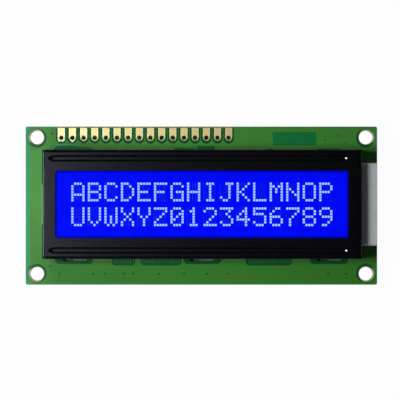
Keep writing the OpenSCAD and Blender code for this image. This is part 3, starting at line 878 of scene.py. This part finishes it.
def back_copper():
    """The back's copper, with the lines that join its chips, the header and the backlight."""
    controller, driver = drop_circle("controller_drop"), drop_circle("driver_drop")
    left, right = controller[0], driver[0]
    # Fans from both drops to the rows of vias above and below them
    lines = fan(controller, 195, 345, spread(-27.0, -3.4, 20), LOWER_VIA_Y)
    lines += fan(driver, 195, 345, spread(3.4, 27.0, 20), LOWER_VIA_Y)
    lines += fan(driver, 140, 12, spread(8.2, 27.0, 16), UPPER_VIA_Y)
    vias = [line[-1] for line in lines]
    # Header pads four to twelve run into the controller's drop
    for i, x in enumerate(HEADER[3:12]):
        column = left[0] + (i - 5) * PAD_LINE_PITCH
        turn_y = PAD_LINE_Y - abs(column - x)
        lines.append([(x, HOLE_Y), (x, PAD_LINE_Y), (column, turn_y), (column, left[1] + 3)])
    # The resistors between the drops, and the four lines that pass between them
    pads = [((low + high) / 2, low, high) for low, high in islands("chip_pads")]
    for mid, _, _ in pads:
        if abs(mid.x) < BETWEEN_DROPS[0] and abs(mid.y) < BETWEEN_DROPS[1]:
            hub = left if mid.x < 0.25 else right
            lines.append([(mid.x, mid.y), (hub[0], mid.y)])
    for step in (-1.5, -0.5, 0.5, 1.5):
        shift = step * DROP_LINE_PITCH
        lines.append([(left[0], left[1] + shift), (right[0], right[1] + shift)])
    # The oscillator's resistor and the capacitors
    lines += [
        [(-25.5, 4.65), (-22.9, 4.65), (-20.0, 2.6)], [(-25.5, 2.35), (-21.0, 2.35)],
        [(-25.5, -0.85), (-21.0, -0.85)], [(-3.35, 7.8), (-1.6, 6.0), (-1.6, 3.4), (-7.6, 3.4)],
        [(6.15, 7.8), (9.0, 5.6)], [(26.0, 1.65), (22.6, 1.65), (20.6, 0.6)],
    ]
    # Backlight current: from the last two header pads to the limiters and the leads
    power = [
        [(HEADER[15], HOLE_Y), (HEADER[15], 14.2), (7.0, 13.4), (32.4, 13.4), (33.2, 12.6),
         (33.2, 9.8), (LIMITER_X, 8.45), (LIMITER_X, LIMITER_Y)],
        [(HEADER[14], HOLE_Y), (HEADER[14], 11.4), (4.46, 10.6), (29.2, 10.6), (30.2, 9.6),
         (30.2, -LIMITER_Y), (LIMITER_X, -LIMITER_Y)],
    ]
    for sy in (-1, 1):
        power.append([(LEAD_X, sy * LEAD_Y), (36.3, sy * LEAD_Y), (34.2, sy * LIMITER_Y)])
    tracks, gaps = [], shared_gaps()
    for runs, width, gap_width in ((lines, TRACK_W, TRACK_GAP_W), (power, POWER_W, POWER_GAP_W)):
        for points in runs:
            tracks += track(points, width)
            gaps += track(points, gap_width)
    for x, y in vias:
        tracks.append(disc(x, y, BACK_VIA_R, sides=16))
        gaps.append(disc(x, y, BACK_VIA_GAP_R, sides=16))
    for _, low, high in pads:
        gaps.append(rect(low.x - CHIP_GAP, low.y - CHIP_GAP, high.x + CHIP_GAP, high.y + CHIP_GAP))
    gaps += [disc(LEAD_X, sy * LEAD_Y, LEAD_GAP_R) for sy in (-1, 1)]
    tracks += [disc(LEAD_X, sy * LEAD_Y, LEAD_PAD_R) for sy in (-1, 1)]
    masked_copper("masked_copper_back", BACK_Z, -1, [pour_outline()], gaps, tracks)


# ---- the display's dots, lit and unlit ----

GLYPHS = {  # seven rows of five dots
    "A": "01110 10001 10001 10001 11111 10001 10001",
    "B": "11110 10001 10001 11110 10001 10001 11110",
    "C": "01110 10001 10000 10000 10000 10001 01110",
    "D": "11100 10010 10001 10001 10001 10010 11100",
    "E": "11111 10000 10000 11110 10000 10000 11111",
    "F": "11111 10000 10000 11110 10000 10000 10000",
    "G": "01110 10001 10000 10111 10001 10001 01111",
    "H": "10001 10001 10001 11111 10001 10001 10001",
    "I": "01110 00100 00100 00100 00100 00100 01110",
    "J": "00111 00010 00010 00010 00010 10010 01100",
    "K": "10001 10010 10100 11000 10100 10010 10001",
    "L": "10000 10000 10000 10000 10000 10000 11111",
    "M": "10001 11011 10101 10101 10001 10001 10001",
    "N": "10001 10001 11001 10101 10011 10001 10001",
    "O": "01110 10001 10001 10001 10001 10001 01110",
    "P": "11110 10001 10001 11110 10000 10000 10000",
    "U": "10001 10001 10001 10001 10001 10001 01110",
    "V": "10001 10001 10001 10001 10001 01010 00100",
    "W": "10001 10001 10001 10101 10101 10101 01010",
    "X": "10001 10001 01010 00100 01010 10001 10001",
    "Y": "10001 10001 10001 01010 00100 00100 00100",
    "Z": "11111 00001 00010 00100 01000 10000 11111",
    "0": "01110 10001 10011 10101 11001 10001 01110",
    "1": "00100 01100 00100 00100 00100 00100 01110",
    "2": "01110 10001 00001 00010 00100 01000 11111",
    "3": "11111 00010 00100 00010 00001 10001 01110",
    "4": "00010 00110 01010 10010 11111 00010 00010",
    "5": "11111 10000 11110 00001 00001 10001 01110",
    "6": "00110 01000 10000 11110 10001 10001 01110",
    "7": "11111 00001 00010 00100 01000 01000 01000",
    "8": "01110 10001 10001 01110 10001 10001 01110",
    "9": "01110 10001 10001 01111 00001 00010 01100",
}
LINES = ("ABCDEFGHIJKLMNOP", "UVWXYZ0123456789")
DOT_COLUMNS, DOT_ROWS = 5, 7
DOT_PITCH = 0.62
DOT_HALF, DOT_CUT = 0.2325, 0.02  # half a dot's width, and how far its upper edges are cut back
CELL_L, CELL_W = (DOT_COLUMNS + 1) * DOT_PITCH, (DOT_ROWS + 2) * DOT_PITCH
LIT_HEIGHT, UNLIT_HEIGHT = 0.02, 0.005


def add_tile(mesh, x, y, low_z, high_z):
    """One dot: a thin open-bottomed tile that narrows towards its top."""
    rings = []
    for half, z in ((DOT_HALF, low_z), (DOT_HALF - DOT_CUT, high_z)):
        corners = rect(x - half, y - half, x + half, y + half)
        rings.append([mesh.verts.new((px * MM, py * MM, z * MM)) for px, py in corners])
    for i in range(4):
        j = (i + 1) % 4
        mesh.faces.new((rings[0][i], rings[0][j], rings[1][j], rings[1][i]))
    mesh.faces.new(rings[1])


def display_dots(name, wanted, height):
    """The lit ("1") or the unlit ("0") dots of every cell, standing on the film."""
    mesh = bmesh.new()
    film_z = box_mm("front_polarizer")[1].z
    left = CENTRE.x - ((len(LINES[0]) - 1) * CELL_L + DOT_COLUMNS * DOT_PITCH) / 2
    top = CENTRE.y + ((len(LINES) - 1) * CELL_W + DOT_ROWS * DOT_PITCH) / 2
    for line_no, line in enumerate(LINES):
        for place, letter in enumerate(line):
            for row, bits in enumerate(GLYPHS[letter].split()):
                for column, bit in enumerate(bits):
                    if bit == wanted:
                        x = left + place * CELL_L + (column + 0.5) * DOT_PITCH
                        y = top - line_no * CELL_W - (row + 0.5) * DOT_PITCH
                        add_tile(mesh, x, y, film_z, film_z + height)
    add_mesh(name, mesh, name)


# ---- platings, pools of paint and resin drops ----

PLATING_GAP, PLATING_T = 0.002, 0.038


def ring_of(mesh, outline, z):
    """Vertices along a flat outline at one height."""
    return [mesh.verts.new((x * MM, y * MM, z * MM)) for x, y in outline]


def join_rings(mesh, first, second):
    """The band of faces between two rings."""
    count = len(first)
    return [
        mesh.faces.new((first[i], second[i], second[(i + 1) % count], first[(i + 1) % count]))
        for i in range(count)
    ]


def join_point(mesh, point, ring):
    """The fan of faces from one vertex to a ring."""
    return [mesh.faces.new((point, a, b)) for a, b in zip(ring, ring[1:] + ring[:1])]


def hole_platings():
    """The gold barrel in each header hole, just inside the hole's wall."""
    mesh = bmesh.new()
    outer, inner = HOLE_R - PLATING_GAP, HOLE_R - PLATING_GAP - PLATING_T
    corners = ((outer, BACK_Z), (outer, FRONT_Z), (inner, FRONT_Z), (inner, BACK_Z))
    for x in HEADER:
        rings = [ring_of(mesh, disc(x, HOLE_Y, r, sides=32), z) for r, z in corners]
        for first, second in zip(rings, rings[1:] + rings[:1]):
            join_rings(mesh, first, second)
    bmesh.ops.recalc_face_normals(mesh, faces=mesh.faces)
    add_mesh("hole_platings", mesh, "gold")


GROOVE_INSET, GROOVE_RIGHT_GAP = 1.95, 3.1  # to the middle and the right end of each groove
POOL_R, POOL_SETBACK, POOL_DEPTH = 0.27, 0.46, 0.108
POOL_CURVE = 2.0  # radius of its hollow
POOL_SLOPE = 0.33  # how it climbs to the right
POOL_SKIRT = 0.12
POOL_RINGS, POOL_SIDES = 6, 32


def groove_pools():
    """A small hollow of glossy paint in each groove's right end, with a skirt down to the steel."""
    mesh = bmesh.new()
    cx = BEZEL_HIGH.x - GROOVE_RIGHT_GAP - POOL_SETBACK
    bottom = BEZEL_HIGH.z - POOL_DEPTH
    for side in (-1, 1):
        cy = CENTRE.y + side * (BEZEL_HIGH.y - CENTRE.y - GROOVE_INSET)
        last = mesh.verts.new((cx * MM, cy * MM, bottom * MM))
        for k in range(1, POOL_RINGS + 2):
            r = POOL_R * min(k / POOL_RINGS, 1.0)
            rim_z = bottom + r ** 2 / (2 * POOL_CURVE) - (POOL_SKIRT if k > POOL_RINGS else 0.0)
            ring = [
                mesh.verts.new((x * MM, y * MM, (rim_z + POOL_SLOPE * (x - cx)) * MM))
                for x, y in disc(cx, cy, r, POOL_SIDES)
            ]
            join = join_point if k == 1 else join_rings
            for face in join(mesh, last, ring):
                face.smooth = k <= POOL_RINGS
            last = ring
    add_mesh("groove_pools", mesh, "pooled_paint")


DROP_RINGS, DROP_SIDES = 18, 96
DROP_CROWN, DROP_FOOT = 2.6, 0.8  # powers that shape the drop: its flat crown and its steep foot
DROP_UNEVEN, DROP_LOBES = 0.025, 1.4  # how far the foot's outline wanders, and how often


def resin_drop(name, node_name, seed):
    """A self-levelled drop with an uneven foot and a low crown, inside its CAD solid's box."""
    (cx, cy), r = drop_circle(node_name)
    low, high = box_mm(node_name)
    mesh = bmesh.new()
    last = mesh.verts.new((cx * MM, cy * MM, low.z * MM))
    for k in range(1, DROP_RINGS + 1):
        share = k / DROP_RINGS
        z = low.z + (high.z - low.z) * (1 - (1 - share ** DROP_CROWN) ** DROP_FOOT)
        outline = []
        for px, py in disc(0.0, 0.0, 1.0, DROP_SIDES):
            lobe = noise.noise(Vector((px * DROP_LOBES + seed, py * DROP_LOBES, 0.0)))
            reach = r * share * (1 - DROP_UNEVEN + DROP_UNEVEN * lobe * share)
            outline.append((cx + reach * px, cy + reach * py))
        ring = ring_of(mesh, outline, z)
        join = join_point if k == 1 else join_rings
        join(mesh, last, ring)
        last = ring
    bmesh.ops.recalc_face_normals(mesh, faces=mesh.faces)
    for face in mesh.faces:
        face.smooth = True
    obj = add_mesh(name, mesh, "black_resin")
    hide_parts(node_name)


# ---- soft edges on the CAD's own solids ----

SOFT_EDGES = {"bezel": 0.09, "circuit_board": 0.06, "backlight_tray": 0.08, "header_pads": 0.02}
BEVEL_ABOVE, SMOOTH_BELOW = 35, 32  # degrees between two faces


def soften(node_name, width):
    """Rounds a CAD node's sharp edges with modifiers; its mesh stays as it is."""
    obj = frame["nodes"][node_name]
    weld = obj.modifiers.new("weld", "WELD")
    weld.merge_threshold = SAME_POINT
    bevel = obj.modifiers.new("bevel", "BEVEL")
    bevel.width = width * MM
    bevel.segments = 2
    bevel.limit_method = "ANGLE"
    bevel.angle_limit = math.radians(BEVEL_ABOVE)
    bevel.use_clamp_overlap = True
    split = obj.modifiers.new("split", "EDGE_SPLIT")
    split.split_angle = math.radians(SMOOTH_BELOW)
    normals = obj.modifiers.new("normals", "WEIGHTED_NORMAL")
    normals.keep_sharp = True


# ---- floor and room ----

FLOOR_WHITE = 0.97
FLOOR_HALF = 3.0  # metres
# The floor's shade under the board and its light below the mounting holes are painted
SHADE_EDGE = (-1.2, 0.0)  # out from the board's outline
HOLE_LIGHT_R, HOLE_LIGHT_BLUR = 1.55, 0.08
HOLE_LIGHT_SHIFT = 0.08  # of the light below a mounting hole, towards the board's corner
WARM_SHADE_Y = (13.5, 14.5)
ROOM_LEVEL = 0.07
CARD_BAND = (0.08, 0.24)  # how high a reflection looks before it meets the dark card


def seen_directly(tree):
    """1 for rays from the camera, in gloss and through glass."""
    path = node(tree, "LightPath").outputs
    gloss = math_node(tree, "MAXIMUM", path["Is Glossy Ray"], path["Is Transmission Ray"])
    return math_node(tree, "MAXIMUM", path["Is Camera Ray"], gloss)


def floor_material():
    """White to the camera, to gloss and through glass, with the module's shadow round it."""
    made = bpy.data.materials.new("floor")
    tree = blank_tree(made)
    coords = mm_coords(tree)
    x, y, _ = axes(tree, coords)
    offs = away(tree, x), away(tree, y)
    # Under the board the floor has painted shade, except for painted light below the mounting holes
    past_x, past_y = (
        math_node(tree, "SUBTRACT", off, half) for off, half in zip(offs, BOARD_HIGH)
    )
    open_floor = ease(tree, math_node(tree, "MAXIMUM", past_x, past_y), SHADE_EDGE)
    from_hole = length_of(tree, [
        math_node(tree, "SUBTRACT", off, at + HOLE_LIGHT_SHIFT) for off, at in zip(offs, MOUNT_HOLE)
    ])
    light_edge = (HOLE_LIGHT_R + HOLE_LIGHT_BLUR, HOLE_LIGHT_R - HOLE_LIGHT_BLUR)
    below_hole = ease(tree, from_hole, light_edge)
    lit = math_node(tree, "MAXIMUM", times(tree, open_floor, FLOOR_WHITE), below_hole)
    grain = noise_of(tree, coords, scale=0.02, detail=2.0)
    white = mix(tree, grain, (0.86, 0.86, 0.86), (0.9, 0.9, 0.9))
    # Painted shade under the board: grey-green, and warm below the header
    shade = mix(tree, ramp(tree, y, WARM_SHADE_Y), (0.2, 0.27, 0.25), (0.3, 0.24, 0.1))
    paper = node(tree, "BsdfDiffuse", {"Color": mix(tree, open_floor, shade, white)})
    glow = node(tree, "Emission", {"Color": rgba((1.0, 1.0, 1.0)), "Strength": 1.0})
    share = times(tree, seen_directly(tree), lit)
    pick = node(tree, "MixShader", {0: share, 1: paper.outputs[0], 2: glow.outputs[0]})
    node(tree, "OutputMaterial", {0: pick.outputs[0]})
    return made


def floor():
    """A plain floor at the height of the lugs' tips."""
    mesh = bmesh.new()
    bmesh.ops.create_grid(mesh, x_segments=8, y_segments=8, size=FLOOR_HALF)
    for vert in mesh.verts:
        vert.co.z = cad_bounds[0].z
    obj = object_of("floor", mesh)
    obj.data.materials.append(floor_material())


def world():
    """A dim even room that looks white from beside the object, with a dark card overhead."""
    made = bpy.data.worlds.new("room")
    bpy.context.scene.world = made
    tree = blank_tree(made)
    up = axes(tree, node(tree, "TexCoord").outputs["Generated"])[2]
    gloss = mix(tree, ease(tree, up, CARD_BAND), (0.3, 0.3, 0.3), (0.01, 0.01, 0.01))
    look = mix(tree, node(tree, "LightPath").outputs["Is Camera Ray"], gloss, (1.0, 1.0, 1.0))
    room = node(tree, "Background", {"Color": rgba((0.9, 0.95, 1.0)), "Strength": ROOM_LEVEL})
    backdrop = node(tree, "Background", {"Color": look, "Strength": 1.0})
    inputs = {0: seen_directly(tree), 1: room.outputs[0], 2: backdrop.outputs[0]}
    node(tree, "OutputWorld", {0: node(tree, "MixShader", inputs).outputs[0]})


# ---- light and camera ----

KEY_WATTS = 0.235
KEY_PLACE, KEY_AIM = (-130.0, 0.0, 220.0), (-50.0, 0.0, 0.0)
KEY_SIZE = (80.0, 90.0)  # along the board's Y, and across that
KEY_SPREAD = 120  # degrees
VIEW_WIDTH = 91.06  # what the picture's width covers at the board's front
CAMERA_HEIGHT = 615.0  # above the board's front
LOOK_AT = (-0.32, 1.28)
SENSOR_WIDTH = 36
CLIP = (0.01, 20)  # metres


def softbox():
    """One softbox high on the left, near enough to fade along the module."""
    lamp = bpy.data.lights.new("softbox", "AREA")
    lamp.shape = "RECTANGLE"
    lamp.size, lamp.size_y = (side * MM for side in KEY_SIZE)
    lamp.energy = KEY_WATTS
    lamp.spread = math.radians(KEY_SPREAD)
    obj = into_scene("softbox", lamp)
    obj.location = Vector(KEY_PLACE) * MM
    way = Vector(KEY_AIM) - Vector(KEY_PLACE)
    obj.rotation_euler = way.to_track_quat("-Z", "Y").to_euler()


def camera():
    """Straight above the board, a little above its middle."""
    data = bpy.data.cameras.new("camera")
    data.sensor_width = SENSOR_WIDTH
    data.lens = SENSOR_WIDTH * CAMERA_HEIGHT / VIEW_WIDTH
    data.clip_start, data.clip_end = CLIP
    obj = into_scene("camera", data)
    obj.location = Vector((*LOOK_AT, FRONT_Z + CAMERA_HEIGHT)) * MM
    bpy.context.scene.camera = obj


# ---- build ----

for finish_name, cad_nodes in FINISHES.items():
    for cad_node in cad_nodes:
        finish(frame["nodes"][cad_node], finish_name)
for cad_node, edge_width in SOFT_EDGES.items():
    soften(cad_node, edge_width)
front_copper()
pad_mask()
back_copper()
display_dots("lit_dots", "1", LIT_HEIGHT)
display_dots("unlit_dots", "0", UNLIT_HEIGHT)
hole_platings()
groove_pools()
resin_drop("controller_resin", "controller_drop", seed=3.0)
resin_drop("driver_resin", "driver_drop", seed=8.0)
floor()
world()
softbox()
camera()
bpy.context.scene.view_settings.view_transform = "Standard"
